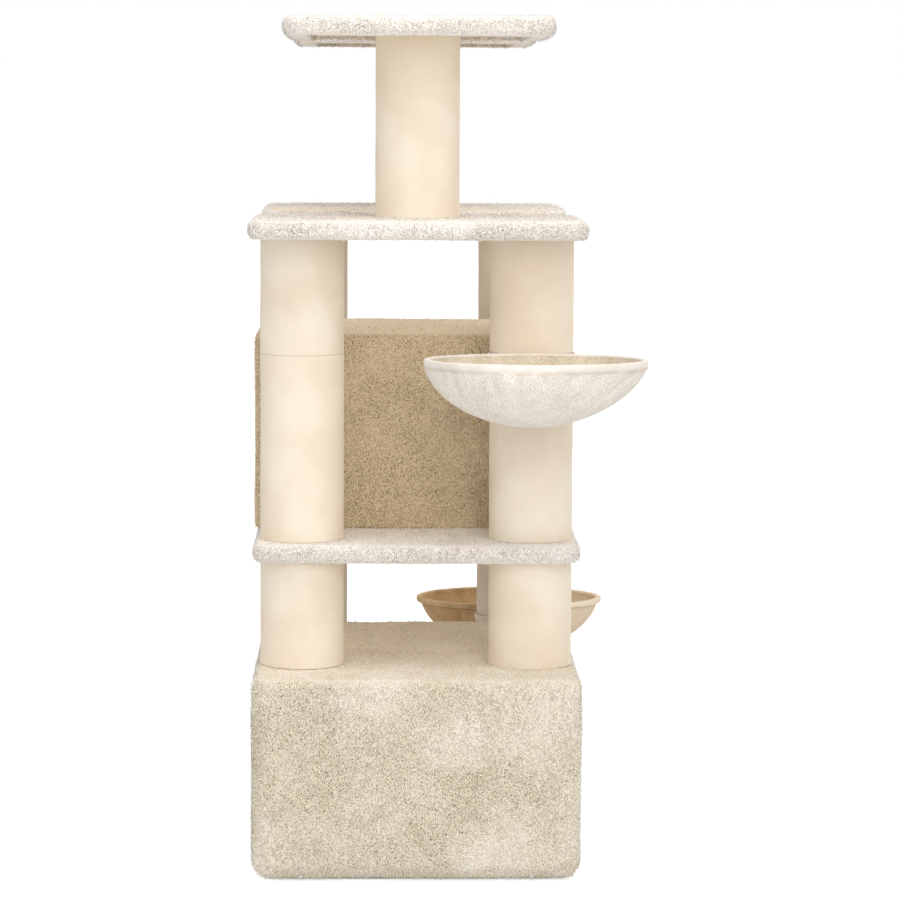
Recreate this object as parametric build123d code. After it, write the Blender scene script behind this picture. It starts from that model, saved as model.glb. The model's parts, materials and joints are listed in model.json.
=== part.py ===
from build123d import *
import os
from math import atan2, cos, degrees, radians, sin

os.makedirs("parts", exist_ok=True)

# Cat tree. X runs along its length, -Y is its front and Z is up. The origin is the middle of
# the underside of the base. Left is -X, right is +X. All sizes are millimetres.

# Boards and plush
board = 15.0  # thickness of every board and panel
pile = 5.5  # thickness of the plush glued round them
deck_corner = 30.0  # plan corner radius of a covered deck
deck_edge = 8.0  # softness of a deck's long edges

# Base and the house that stands on its left end
base_length = 845.0
base_depth = 448.0
lower_house_length = 545.0
lower_house_height = 280.0  # top of its plush above the floor
floor_gap = 1.0  # the house's plush ends this far above the floor
house_corner = 14.0
house_edge = 10.0
hem_edge = 2.0  # softness of the plush where it ends or turns in
door_radius = 100.0
lower_door_shift = -40.0  # of the door from the middle of its house, along X

# Posts
post_radius = 58.0
nap = 1.5  # cloth sleeve on a tube
tube_wall = 4.0
disc_thickness = 12.0  # wooden disc in each end of a tube
sleeve_edge = 0.8
row_inset = 145.0  # of a post's axis from the left or right end of the base
post_inset = 65.0  # of a post's axis from the front or rear edge of the base

# Sections of the posts, from one deck or joint to the next
base_section = 242.0  # right posts, base to first joint
left_section = 150.0  # left posts, lower house to middle deck
middle_section = 258.0  # middle deck to second joint
upper_section = 162.0  # second joint to the upper decks
perch_section = 246.5  # upper deck to the underside of a perch

# Middle deck and the house on it
middle_reach = 85.0  # past the axes of the left and right posts
middle_overhang = 1.0  # past the base, front and rear
upper_house_length = 332.0
upper_house_inset = 1.0  # from the middle deck's edges, front and rear
upper_house_set_back = 3.0  # of the house from the middle of its deck
upper_house_height = 280.0
upper_door_radius = 90.0

# Upper decks and perches
upper_deck_length = 300.0
upper_deck_overhang = 5.0  # past the base, front and rear
perch_side = 362.0
perch_lip = 28.0  # plush turned in under a perch, all round

# Fasteners
stud_radius = 4.0
hole_clearance = 0.5
stud_grip = 20.0  # how far a stud or bolt reaches past the face of a post
insert_radius = 6.0
insert_length = 12.0
head_radius = 8.5
head_height = 2.5
washer_radius = 11.0
washer_height = 1.5
pocket_clearance = 2.0
screw_radius = 2.5
screw_length = 40.0
screw_head_radius = 4.5
screw_head_height = 3.0
screw_inset = 45.0  # of a screw from the end of its panel

# Baskets
hoop_radius = 145.0
hoop_wire = 3.5  # radius of the hoop's steel rod
basket_reach = 213.0  # from the post's axis to the middle of the basket
binding_width = 11.0
binding_height = 11.0
binding_edge = 4.0
bowl_depth = 91.0  # below the rim
bowl_wall = 3.0
rim_setback = 1.5  # of the bowl's cloth under the binding, from the outside of the hoop
bowl_floor_radius = 200.0  # of the shallow arc in the middle of the bowl
bowl_floor_angle = 24.0  # half the sweep of that arc
plate_thickness = 3.0
plate_width = 36.0
eye_radius = 52.0
weld_depth = 0.5  # the plate's end is let into the hoop by this much
swivel_gap = 0.3  # between the plate and the post sections it turns between
swivel_clearance = 0.05  # radial, between the eye and the stud
slit_clearance = 0.3  # round the plate where it passes the binding
collar_height = 18.0  # of the cloth collar that hides the joint
collar_wall = 2.0
collar_gap = 1.0  # from the post
upper_basket_turn = 179.0  # of the basket's arm from +X, at rest
lower_basket_turn = 0.0
upper_basket_rise = 1.1  # degrees that the free end of the hoop stands up
lower_basket_rise = -2.2

# Heights and places that follow from the sizes above
deck = board + 2 * pile
row_x = base_length / 2 - row_inset
middle_length = 2 * (row_x + middle_reach)
post_y = base_depth / 2 - post_inset
middle_depth = base_depth + 2 * middle_overhang
upper_house_depth = middle_depth - 2 * upper_house_inset
upper_deck_depth = base_depth + 2 * upper_deck_overhang
tube_radius = post_radius - nap
disc_radius = tube_radius - tube_wall
hole_radius = stud_radius + hole_clearance

base_joint_z = deck + base_section
middle_z = lower_house_height + left_section
upper_joint_z = middle_z + deck + middle_section
upper_z = upper_joint_z + upper_section
perch_z = upper_z + deck + perch_section

lower_house_x = (lower_house_length - base_length) / 2
hoop_drop = binding_height / 2
swivel_half = plate_thickness / 2 + swivel_gap

BASE = (Align.CENTER, Align.CENTER, Align.MIN)
parts = {}


def upright(radius, bottom, top, x=0.0, y=0.0):
    """A vertical cylinder between two heights."""
    return Pos(x, y, bottom) * Cylinder(radius, top - bottom, align=BASE)


def block(x_low, x_high, y_low, y_high, z_low, z_high):
    """A plain box between its limits."""
    size = (x_high - x_low, y_high - y_low, z_high - z_low)
    middle = ((x_low + x_high) / 2, (y_low + y_high) / 2, (z_low + z_high) / 2)
    return Pos(*middle) * Box(*size)


def slab(length, depth, height, corner, top_edge, bottom_edge, x=0.0, z=0.0):
    """A box on (x, 0, z) with round upright corners and softened top and bottom edges."""
    solid = Box(length, depth, height, align=BASE)
    solid = fillet(solid.edges().filter_by(Axis.Z), corner)
    faces = solid.faces().sort_by(Axis.Z)
    solid = fillet(faces[-1].edges(), top_edge)
    solid = fillet(solid.faces().sort_by(Axis.Z)[0].edges(), bottom_edge)
    return Pos(x, 0, z) * solid


def flat_board(length, depth, corner, x=0.0, z=0.0):
    """A board with its underside at z, rounded only in plan."""
    solid = Box(length, depth, board, align=BASE)
    return Pos(x, 0, z) * fillet(solid.edges().filter_by(Axis.Z), corner)


def covered_deck(length, depth, x, z):
    """A board and the plush wrapped round it, whose underside is at z."""
    core = flat_board(length - 2 * pile, depth - 2 * pile, deck_corner - pile, x, z + pile)
    wrap = slab(length, depth, deck, deck_corner, deck_edge, deck_edge, x, z) - core
    return core, wrap


# ---- Fasteners: each list is filled where the pieces that they join are made ----
studs, bolts, washers, inserts, screws, discs = [], [], [], [], [], []
tubes = {"lower": [], "middle": [], "upper": [], "perch": []}


def stud_between(x, y, bottom, top):
    """A threaded rod on a post's axis."""
    studs.append(upright(stud_radius, bottom, top, x, y))


def insert_in(x, y, bottom):
    """A threaded insert let into a board, bored for its stud."""
    top = bottom + insert_length
    inserts.append(upright(insert_radius, bottom, top, x, y) - upright(stud_radius, bottom, top, x, y))
    return upright(insert_radius, bottom, top, x, y)


def bolt_up(x, y, seat, top):
    """A flat-headed bolt with its washer against the underside of a board at seat."""
    under = seat - washer_height
    bolts.append(
        upright(stud_radius, under, top, x, y) + upright(head_radius, under - head_height, under, x, y)
    )
    washers.append(upright(washer_radius, under, seat, x, y) - upright(stud_radius, under, seat, x, y))


def screw(x, y, z, turn):
    """A countersunk-flush screw whose head's face is at the point; turn aims it inwards."""
    shank = Cylinder(screw_radius, screw_length, align=BASE)
    head = Cylinder(screw_head_radius, screw_head_height, align=BASE)
    return Pos(x, y, z) * turn * (shank + head)


def post_section(name, group, x, y, bottom, top):
    """One length of post: cloth sleeve, cardboard tube and a disc in each end."""
    sleeve = upright(post_radius, bottom, top, x, y) - upright(tube_radius, bottom, top, x, y)
    rims = [
        edge
        for edge in sleeve.edges().filter_by(GeomType.CIRCLE)
        if abs(edge.radius - post_radius) < nap / 2
    ]
    parts[name] = fillet(rims, sleeve_edge)
    tubes[group].append(upright(tube_radius, bottom, top, x, y) - upright(disc_radius, bottom, top, x, y))
    for low in (bottom, top - disc_thickness):
        disc = upright(disc_radius, low, low + disc_thickness, x, y)
        discs.append(disc - upright(stud_radius, low, low + disc_thickness, x, y))


def house(prefix, x, set_back, depth, length, floor, top, skin_bottom, door, door_r, footing):
    """A box of five panels round an open floor, its plush skin and its round door.

    floor is the height that the panels stand on, and footing the underside of the board
    below, which four screws pass on their way up into the end panels. It is drawn about
    Y zero and then set back.
    """
    x_low, x_high = x - length / 2 + pile, x + length / 2 - pile
    y_face = depth / 2 - pile
    under_top = top - pile - board
    door_z = (floor + under_top) / 2
    panels = {
        "front": block(x_low, x_high, -y_face, board - y_face, floor, under_top),
        "back": block(x_low, x_high, y_face - board, y_face, floor, under_top),
        "left": block(x_low, x_low + board, board - y_face, y_face - board, floor, under_top),
        "right": block(x_high - board, x_high, board - y_face, y_face - board, floor, under_top),
        "top": block(x_low, x_high, -y_face, y_face, under_top, top - pile),
    }

    into_door = Pos(x + door, -y_face + board, door_z) * Rot(90, 0, 0)
    lining = into_door * Cylinder(door_r + pile, board + pile, align=BASE)
    hole = into_door * Cylinder(door_r, board + pile, align=BASE)
    panels["front"] -= lining

    skin = slab(length, depth, top - skin_bottom, house_corner, house_edge, hem_edge, x, skin_bottom)
    skin -= block(x_low, x_high, -y_face, y_face, skin_bottom, top - pile)
    skin = skin + lining - hole
    mouth = [
        edge
        for edge in skin.edges().filter_by(GeomType.CIRCLE)
        if abs(edge.radius - door_r) < hem_edge / 2 and edge.center().Y < -y_face
    ]
    skin = fillet(mouth, hem_edge)

    place = Pos(0, set_back, 0)
    heights = (floor + screw_inset, under_top - screw_inset)
    across = y_face - board - screw_inset
    for end in (x_low + board / 2, x_high - board / 2):
        driven = [screw(end, side * y_face, z, Rot(side * 90, 0, 0)) for side in (-1, 1) for z in heights]
        driven += [screw(end, side * across, top - pile, Rot(180, 0, 0)) for side in (-1, 1)]
        driven += [screw(end, side * across, footing, Rot(0, 0, 0)) for side in (-1, 1)]
        for key in panels:
            for one in driven:
                panels[key] -= one
        screws.extend(place * one for one in driven)
    for key, panel in panels.items():
        parts[f"{prefix}_{key}_panel"] = place * panel
    parts[f"{prefix}_cover"] = place * skin
    return x_low, x_high, y_face


def basket(prefix, x, y, joint_z, turn, rise):
    """A hooped cloth bowl on a level plate whose eye turns on the stud at the joint.

    A cloth collar on the plate hides the joint and turns round the post with the basket.
    It is drawn with the plate's middle at the origin, reaching along +X. The hoop, binding and
    bowl are drawn on their own axis and tipped together about the weld by the rise.
    """
    weld_x = basket_reach - hoop_radius
    plate_end = weld_x - hoop_wire + weld_depth
    half_plate = plate_thickness / 2
    plate = upright(eye_radius, -half_plate, half_plate)
    plate += block(0, plate_end, -plate_width / 2, plate_width / 2, -half_plate, half_plate)
    plate -= upright(stud_radius + swivel_clearance, -half_plate, half_plate)
    half_slit = half_plate + slit_clearance
    slit_side = plate_width / 2 + slit_clearance
    slit = block(eye_radius, plate_end + slit_clearance, -slit_side, slit_side, -half_slit, half_slit)

    collar_radius = post_radius + collar_gap
    half_collar = collar_height / 2
    collar = upright(collar_radius + collar_wall, -half_collar, half_collar)
    collar -= upright(collar_radius, -half_collar, half_collar)
    collar = fillet(collar.edges().filter_by(GeomType.CIRCLE), sleeve_edge)

    tipped = Pos(weld_x, 0, 0) * Rot(0, -rise, 0) * Pos(hoop_radius, 0, hoop_drop)
    profile = RectangleRounded(binding_width, binding_height, binding_edge) - Circle(hoop_wire)
    ring = revolve(Plane.XZ * Pos(hoop_radius, -hoop_drop) * profile, Axis.Z)
    hoop = tipped * Pos(0, 0, -hoop_drop) * Torus(hoop_radius, hoop_wire)

    place = Pos(x, y, joint_z) * Rot(0, 0, turn)
    parts[f"{prefix}_basket_plate"] = place * plate
    parts[f"{prefix}_basket_collar"] = place * (collar - plate)
    parts[f"{prefix}_basket_hoop"] = place * (hoop - plate)
    parts[f"{prefix}_basket_binding"] = place * (tipped * ring - slit)
    parts[f"{prefix}_basket_bowl"] = place * tipped * bowl()


def bowl():
    """The bowl's cloth, its rim at height zero: a floor arc that runs on into a side arc."""
    rim_x = hoop_radius + hoop_wire - rim_setback
    rim_z = -binding_height
    floor_turn = radians(bowl_floor_angle)
    knee = (bowl_floor_radius * sin(floor_turn), bowl_floor_radius * (1 - cos(floor_turn)) - bowl_depth)
    chord_turn = atan2(rim_z - knee[1], rim_x - knee[0])
    rim_turn = 2 * chord_turn - floor_turn
    side_radius = (rim_x - knee[0]) / (sin(rim_turn) - sin(floor_turn))
    side_centre = (knee[0] - side_radius * sin(floor_turn), knee[1] + side_radius * cos(floor_turn))
    over_turn = rim_turn + 2 * bowl_wall / side_radius  # runs past the rim, and is cut off level

    def outline(inset):
        """Points of the two arcs, moved in by inset towards their centres."""
        low, side = bowl_floor_radius - inset, side_radius - inset
        floor_centre = bowl_floor_radius - bowl_depth
        bottom = (0.0, floor_centre - low)
        half = (low * sin(floor_turn / 2), floor_centre - low * cos(floor_turn / 2))
        turn_point = (low * sin(floor_turn), floor_centre - low * cos(floor_turn))
        mid = (floor_turn + over_turn) / 2
        side_half = (side_centre[0] + side * sin(mid), side_centre[1] - side * cos(mid))
        end = (side_centre[0] + side * sin(over_turn), side_centre[1] - side * cos(over_turn))
        return bottom, half, turn_point, side_half, end

    outer, inner = outline(0.0), outline(bowl_wall)
    edges = [
        ThreePointArc(outer[0], outer[1], outer[2]),
        ThreePointArc(outer[2], outer[3], outer[4]),
        Line(outer[4], inner[4]),
        ThreePointArc(inner[4], inner[3], inner[2]),
        ThreePointArc(inner[2], inner[1], inner[0]),
        Line(inner[0], outer[0]),
    ]
    shell = revolve(Plane.XZ * make_face(Wire(edges)), Axis.Z)
    return shell - upright(basket_reach, rim_z, binding_height)


# ---- Base ----
base_board = flat_board(base_length - 2 * pile, base_depth - 2 * pile, deck_corner - pile, z=pile)
base_outer = slab(base_length, base_depth, deck, deck_corner, deck_edge, deck_edge)

# ---- Lower house, whose plush also covers the base's left end down to the floor ----
lower_low, lower_high, lower_face = house(
    "lower_house",
    lower_house_x,
    0,
    base_depth,
    lower_house_length,
    deck,
    lower_house_height,
    floor_gap,
    lower_door_shift,
    door_radius,
    pile,
)
house_end = lower_house_x + lower_house_length / 2
under_wall = block(lower_high, house_end, -lower_face, lower_face, 0, deck)
parts["lower_house_cover"] -= under_wall
wrapped_end = block(-base_length / 2, house_end, -base_depth / 2, base_depth / 2, 0, deck)
inside_wrap = block(lower_low, house_end, -lower_face, lower_face, 0, deck)
base_board &= inside_wrap + block(house_end, base_length / 2, -base_depth / 2, base_depth / 2, 0, deck)
base_cover = base_outer + inside_wrap - (wrapped_end - inside_wrap) - base_board

# ---- Middle deck and upper house ----
middle_board, middle_cover = covered_deck(middle_length, middle_depth, 0, middle_z)
middle_top = middle_z + deck
upper_house_top = middle_top + upper_house_height
house(
    "upper_house",
    0,
    upper_house_set_back,
    upper_house_depth,
    upper_house_length,
    middle_top,
    upper_house_top,
    middle_top,
    0,
    upper_door_radius,
    middle_z + pile,
)

# ---- Upper decks and perches, one of each over each pair of posts ----
upper_boards, upper_covers, perch_boards, perch_covers = {}, {}, {}, {}
window = perch_side - 2 * perch_lip
for side, x in (("left", -row_x), ("right", row_x)):
    core, wrap = covered_deck(upper_deck_length, upper_deck_depth, x, upper_z)
    upper_boards[side], upper_covers[side] = core, wrap
    core, wrap = covered_deck(perch_side, perch_side, x, perch_z)
    opening = Box(window, window, pile, align=BASE)
    opening = fillet(opening.edges().filter_by(Axis.Z), deck_corner - pile)
    perch_boards[side], perch_covers[side] = core, wrap - Pos(x, 0, perch_z) * opening

# ---- Posts ----
for side, x in (("left", -row_x), ("right", row_x)):
    for place, y in (("front", -post_y), ("rear", post_y)):
        has_low_basket = side == "right" and place == "front"
        has_high_basket = side == "left" and place == "front"
        low_gap = swivel_half if has_low_basket else 0.0
        high_gap = swivel_half if has_high_basket else 0.0
        name = f"{place}_{side}_post"

        if side == "right":
            bolt_up(x, y, pile, deck + stud_grip)
            post_section(f"{name}_base", "lower", x, y, deck, base_joint_z - low_gap)
            stud_between(x, y, base_joint_z - low_gap - stud_grip, base_joint_z + low_gap + stud_grip)
            post_section(f"{name}_lower", "lower", x, y, base_joint_z + low_gap, middle_z)
        else:
            bolt_up(x, y, lower_house_height - pile - board, lower_house_height + stud_grip)
            post_section(f"{name}_lower", "lower", x, y, lower_house_height, middle_z)

        stud_between(x, y, middle_z - stud_grip, middle_top + stud_grip)
        post_section(f"{name}_middle", "middle", x, y, middle_top, upper_joint_z - high_gap)
        stud_between(x, y, upper_joint_z - high_gap - stud_grip, upper_joint_z + high_gap + stud_grip)
        post_section(f"{name}_upper", "upper", x, y, upper_joint_z + high_gap, upper_z)

        stud_between(x, y, upper_z - stud_grip, upper_z + pile + insert_length)
        upper_boards[side] -= insert_in(x, y, upper_z + pile)
        upper_covers[side] -= upright(hole_radius, upper_z, upper_z + pile, x, y)
        through = upright(hole_radius, middle_z, middle_top, x, y)
        middle_board -= through
        middle_cover -= through

        if side == "right":
            base_board -= upright(hole_radius, pile, deck, x, y)
            base_cover -= upright(hole_radius, pile, deck, x, y)
            base_cover -= upright(washer_radius + pocket_clearance, 0, pile, x, y)
        else:
            passage = upright(hole_radius, lower_house_height - pile - board, lower_house_height, x, y)
            parts["lower_house_top_panel"] -= passage
            parts["lower_house_cover"] -= passage

    # The perch post stands in the middle of the upper deck and bolts straight to its board.
    perch_seat = perch_z + pile
    deck_top = upper_z + deck
    post_section(f"{side}_perch_post", "perch", x, 0, deck_top, perch_seat)
    stud_between(x, 0, deck_top - pile - insert_length, deck_top + stud_grip)
    stud_between(x, 0, perch_seat - stud_grip, perch_seat + insert_length)
    upper_boards[side] -= insert_in(x, 0, deck_top - pile - insert_length)
    upper_covers[side] -= upright(hole_radius, deck_top - pile, deck_top, x, 0)
    perch_boards[side] -= insert_in(x, 0, perch_seat)

# ---- Screws through the base and the middle board leave their own holes ----
for one in screws:
    base_board -= one
    base_cover -= one
    middle_board -= one
    middle_cover -= one

# ---- Baskets ----
basket("upper", -row_x, -post_y, upper_joint_z, upper_basket_turn, upper_basket_rise)
basket("lower", row_x, -post_y, base_joint_z, lower_basket_turn, lower_basket_rise)

# ---- Collect and write ----
parts["base_board"] = base_board
parts["base_cover"] = base_cover
parts["middle_board"] = middle_board
parts["middle_cover"] = middle_cover
for side in ("left", "right"):
    parts[f"{side}_upper_board"] = upper_boards[side]
    parts[f"{side}_upper_cover"] = upper_covers[side]
    parts[f"{side}_perch_board"] = perch_boards[side]
    parts[f"{side}_perch_cover"] = perch_covers[side]
for group, solids in tubes.items():
    parts[f"{group}_post_tubes"] = Compound(children=solids)
parts["post_discs"] = Compound(children=discs)
parts["joint_studs"] = Compound(children=studs)
parts["post_bolts"] = Compound(children=bolts)
parts["bolt_washers"] = Compound(children=washers)
parts["board_inserts"] = Compound(children=inserts)
parts["house_screws"] = Compound(children=screws)

for name, solid in parts.items():
    export_step(solid, f"parts/{name}.step")
print(len(parts), "nodes")
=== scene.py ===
"""Looks of the cat tree: plush decks and houses, cloth-covered posts and hooped baskets.

Every length is in metres, in the frame of the model. X runs along the tree, -Y is its front.
"""

import json
import math

import bpy
import numpy as np
from mathutils import Euler, Matrix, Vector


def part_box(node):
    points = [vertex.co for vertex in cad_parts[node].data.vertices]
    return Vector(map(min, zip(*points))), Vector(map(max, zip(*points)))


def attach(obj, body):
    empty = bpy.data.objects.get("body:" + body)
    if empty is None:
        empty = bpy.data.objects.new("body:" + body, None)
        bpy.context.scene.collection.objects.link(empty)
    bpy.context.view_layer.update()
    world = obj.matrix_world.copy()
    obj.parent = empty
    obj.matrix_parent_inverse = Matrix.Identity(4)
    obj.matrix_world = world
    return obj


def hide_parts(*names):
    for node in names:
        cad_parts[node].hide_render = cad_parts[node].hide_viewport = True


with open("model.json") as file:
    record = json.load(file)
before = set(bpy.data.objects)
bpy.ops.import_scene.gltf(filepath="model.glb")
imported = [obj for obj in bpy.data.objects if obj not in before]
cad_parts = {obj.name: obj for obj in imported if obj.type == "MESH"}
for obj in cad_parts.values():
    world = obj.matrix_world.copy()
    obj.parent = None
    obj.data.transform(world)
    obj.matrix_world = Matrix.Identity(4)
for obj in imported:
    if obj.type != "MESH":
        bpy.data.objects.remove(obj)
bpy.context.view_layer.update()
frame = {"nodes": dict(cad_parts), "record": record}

MM = 0.001
TREE = "tree"
PANELS = ("front", "back", "left", "right", "top")
TAU = 2 * math.pi
STRANDS_IN_PIECE = 48000
TOP_SHARE = 0.22  # strands on a surface that looks up, as a share of those on an upright one
BOARD_CORNER = 30 * MM  # radius of a covered board's corners in plan
LOWER_DOOR_RADIUS = 100 * MM
UPPER_DOOR_RADIUS = 90 * MM
DECK_EDGE = 10 * MM  # radius of a deck's long edges
BASE_EDGE = 8 * MM  # radius of the base's long edges


# ---------------------------------------------------------------- meshes


def weld(points, faces):
    """Joins points that coincide and closes the quads that this folds into triangles."""
    keys = np.round(points / (0.02 * MM)).astype(np.int64)
    _, first, back = np.unique(keys, axis=0, return_index=True, return_inverse=True)
    return points[first], back.reshape(-1)[faces]


def grid_faces(rows, columns, closed=False):
    """Quads of a grid of rows by columns points, joined round if closed."""
    index = np.arange(rows * columns).reshape(rows, columns)
    if closed:
        index = np.hstack([index, index[:, :1]])
    corners = (index[:-1, :-1], index[:-1, 1:], index[1:, 1:], index[1:, :-1])
    return np.stack([c.ravel() for c in corners], axis=1)


def joined(patches):
    """One set of points and quads from several (points, quads) patches."""
    points, faces, count = [], [], 0
    for patch_points, patch_faces in patches:
        points.append(patch_points)
        faces.append(patch_faces + count)
        count += len(patch_points)
    return weld(np.vstack(points), np.vstack(faces))


def point_normals(points, faces):
    """Unit normals of the points: the sum of the crossed diagonals of the quads at each."""
    a, b, c, d = (points[faces[:, k]] for k in range(4))
    cross = np.cross(c - a, d - b)
    total = np.zeros_like(points)
    for k in range(4):
        np.add.at(total, faces[:, k], cross)
    length = np.linalg.norm(total, axis=1, keepdims=True)
    return total / np.maximum(length, 1e-12)


def make_piece(name, points, faces, finish, body, replaced=()):
    """Turns points and quads into a smooth object that rides on a body."""
    mesh = bpy.data.meshes.new(name)
    triangle = faces[:, 2] == faces[:, 3]
    folded = (faces[:, 0] == faces[:, 1]) | (faces[:, 1] == faces[:, 2]) | (faces[:, 0] == faces[:, 3])
    plain = faces[~(triangle | folded)]
    polygons = plain.tolist()
    for face in faces[triangle | folded].tolist():
        corners = list(dict.fromkeys(face))
        if len(corners) == 3:
            polygons.append(corners)
    mesh.from_pydata(points.tolist(), [], polygons)
    mesh.polygons.foreach_set("use_smooth", np.ones(len(mesh.polygons), bool))
    mesh.materials.append(finish)
    mesh.update()
    piece = bpy.data.objects.new(name, mesh)
    bpy.context.scene.collection.objects.link(piece)
    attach(piece, body)
    if replaced:
        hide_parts(*replaced)
    return piece


def lattice(cells, seed):
    """A repeatable random number from -1 to 1 for each whole-number cell."""
    cells = cells.astype(np.int64)
    x, y, z = cells[..., 0], cells[..., 1], cells[..., 2]
    mixed = x * 73856093 ^ y * 19349663 ^ z * 83492791 ^ seed * 2654435761
    mixed = (mixed ^ (mixed >> 13)) * 1274126177
    mixed = mixed ^ (mixed >> 16)
    return (mixed & 0xFFFF) / 32767.5 - 1.0


def wander(points, size, seed):
    """Smooth random field of about -1 to 1: cell values blended between the eight corners."""
    scaled = points / size
    low = np.floor(scaled)
    part = scaled - low
    part = part * part * (3 - 2 * part)
    total = np.zeros(len(points))
    for corner in np.ndindex(2, 2, 2):
        offset = np.array(corner)
        weight = np.prod(np.where(offset == 1, part, 1 - part), axis=1)
        total += weight * lattice(low + offset, seed)
    return total


def tufted(points, faces, seed, tuft=0.5 * MM, clump=0.3 * MM, sway=0.6 * MM):
    """Moves points along their normals by three random fields: tufts, clumps and slow sway.

    Surfaces that look straight up or down are brushed flat and keep a third of the tufts.
    """
    normals = point_normals(points, faces)
    upright = 1 - 0.67 * np.abs(normals[:, 2]) ** 3
    rise = tuft * wander(points, 3.1 * MM, seed)
    rise += clump * wander(points, 9 * MM, seed + 1)
    rise *= upright
    rise += sway * wander(points, 70 * MM, seed + 2)
    return points + normals * rise[:, None]


def pile(name, points, faces, finish, spread, length, seed, droop=0.7, top_share=TOP_SHARE):
    """Strands of pile on a surface: slim closed pyramids, one for each spread by spread square.

    Each stands on a random point of a random quad, chosen by area, and leans down and to a
    random side of the normal. Surfaces that look up are brushed flat: they have only top_share
    as many, which lean further over. Surfaces that look down have none. The strands go into
    pieces of at most STRANDS_IN_PIECE each, from left to right.
    """
    half_width = 0.42 * spread
    root_depth = 0.6 * MM
    draw = np.random.default_rng(seed)
    a, b, c, d = (points[faces[:, k]] for k in range(4))
    cross = np.cross(c - a, d - b) / 2
    area = np.linalg.norm(cross, axis=1)
    normal = cross / np.maximum(area, 1e-15)[:, None]
    upright = np.clip(1.25 - 1.25 * np.abs(normal[:, 2]), 0, 1)
    area = area * np.maximum(upright, np.where(normal[:, 2] > 0.5, top_share, 0))
    count = int(area.sum() / spread**2)
    edge = np.cumsum(area)
    pick = np.searchsorted(edge, draw.random(count) * edge[-1])
    u, v = draw.random((2, count, 1))
    foot = (a[pick] * (1 - u) + b[pick] * u) * (1 - v) + (d[pick] * (1 - u) + c[pick] * u) * v
    normal = normal[pick]
    scatter = 0.45 + np.clip(normal[:, 2:], 0, 1)
    lean = draw.normal(0, 1, (count, 3)) * scatter - [0, 0, droop]
    reach = normal + lean - normal * (lean * normal).sum(axis=1, keepdims=True)
    reach /= np.linalg.norm(reach, axis=1, keepdims=True)
    reach *= length * draw.uniform(0.6, 1.15, (count, 1))
    side = np.cross(reach, draw.normal(0, 1, (count, 3)))
    side /= np.linalg.norm(side, axis=1, keepdims=True)
    other = np.cross(reach, side)
    other /= np.linalg.norm(other, axis=1, keepdims=True)
    root = foot - normal * root_depth
    thirds = (0, TAU / 3, 2 * TAU / 3)
    corners = [root + half_width * (side * math.cos(t) + other * math.sin(t)) for t in thirds]
    strands = np.stack([*corners, foot + reach], axis=1)
    strands = strands[np.argsort(foot[:, 0])]
    strands[..., 2] = np.maximum(strands[..., 2], 0)
    sides = np.array([[0, 1, 3, 3], [1, 2, 3, 3], [2, 0, 3, 3], [0, 2, 1, 1]])
    pieces = math.ceil(count / STRANDS_IN_PIECE)
    for number, group in enumerate(np.array_split(strands, pieces)):
        first = 4 * np.arange(len(group))[:, None, None]
        quads = (first + sides[None]).reshape(-1, 4)
        ending = f"_{number + 1}" if pieces > 1 else ""
        make_piece(name + ending, group.reshape(-1, 3), quads, finish, TREE)


# ---------------------------------------------------------------- soft boxes


def spaced(low, high, step, fine, border):
    """Stations from low to high: fine ones within border of each end, step ones between."""
    near = np.arange(0, border, fine)
    count = max(2, round((high - low - 2 * border) / step) + 1)
    middle = np.linspace(low + border, high - border, count)
    return np.concatenate([low + near, middle, (high - near)[::-1]])


def softened(points, low, high, corner, top_edge, bottom_edge):
    """Rounds a box: square rings round each plan corner become arcs, then the long edges do.

    m is how far a point is past the straight part of the plan, and the point is put that far
    out along its own direction. Near the top and bottom, the square corner made by the inset
    from the outline and the drop from the face becomes a quarter circle.
    """
    middle, half = (low + high) / 2, (high - low) / 2
    plan = points[:, :2] - middle[:2]
    core = np.clip(plan, corner - half[:2], half[:2] - corner)
    past = plan - core
    m = np.abs(past).max(axis=1)
    length = np.maximum(np.hypot(past[:, 0], past[:, 1]), 1e-12)
    outward = past / length[:, None]
    inset = corner - m
    height = points[:, 2].copy()
    for edge, drop, sign in (
        (top_edge, high[2] - points[:, 2], -1),
        (bottom_edge, points[:, 2] - low[2], 1),
    ):
        if edge <= 0:
            continue
        near = (inset < edge) & (drop < edge)
        across, down = edge - inset[near], edge - drop[near]
        reach = np.maximum(np.hypot(across, down), 1e-12)
        inset[near] = edge - edge * across / reach
        face = high[2] if sign < 0 else low[2]
        height[near] = face + sign * (edge - edge * down / reach)
    plan = middle[:2] + core + outward * (corner - inset)[:, None]
    return np.column_stack([plan, height])


def box_patches(xs, ys, zs, open_faces=()):
    """The six sides of a box as grids that share their stations, with outward quads."""
    patches = {}
    for name, first, second, fixed, axis, flip in (
        ("bottom", xs, ys, zs[0], 2, True),
        ("top", xs, ys, zs[-1], 2, False),
        ("front", xs, zs, ys[0], 1, False),
        ("back", xs, zs, ys[-1], 1, True),
        ("left", ys, zs, xs[0], 0, True),
        ("right", ys, zs, xs[-1], 0, False),
    ):
        if name in open_faces:
            continue
        u, v = np.meshgrid(first, second, indexing="ij")
        columns = [u.ravel(), v.ravel()]
        columns.insert(axis, np.full(u.size, fixed))
        faces = grid_faces(len(first), len(second))
        faces = faces if flip else faces[:, ::-1]
        patches[name] = [np.column_stack(columns), faces]
    return patches


def without_window(patch, keep_out):
    """Drops the quads whose middle lies inside the plan window (low, high)."""
    points, faces = patch
    middle = points[faces].mean(axis=1)[:, :2]
    inside = np.all((middle > keep_out[0]) & (middle < keep_out[1]), axis=1)
    return [points, faces[~inside]]


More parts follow.
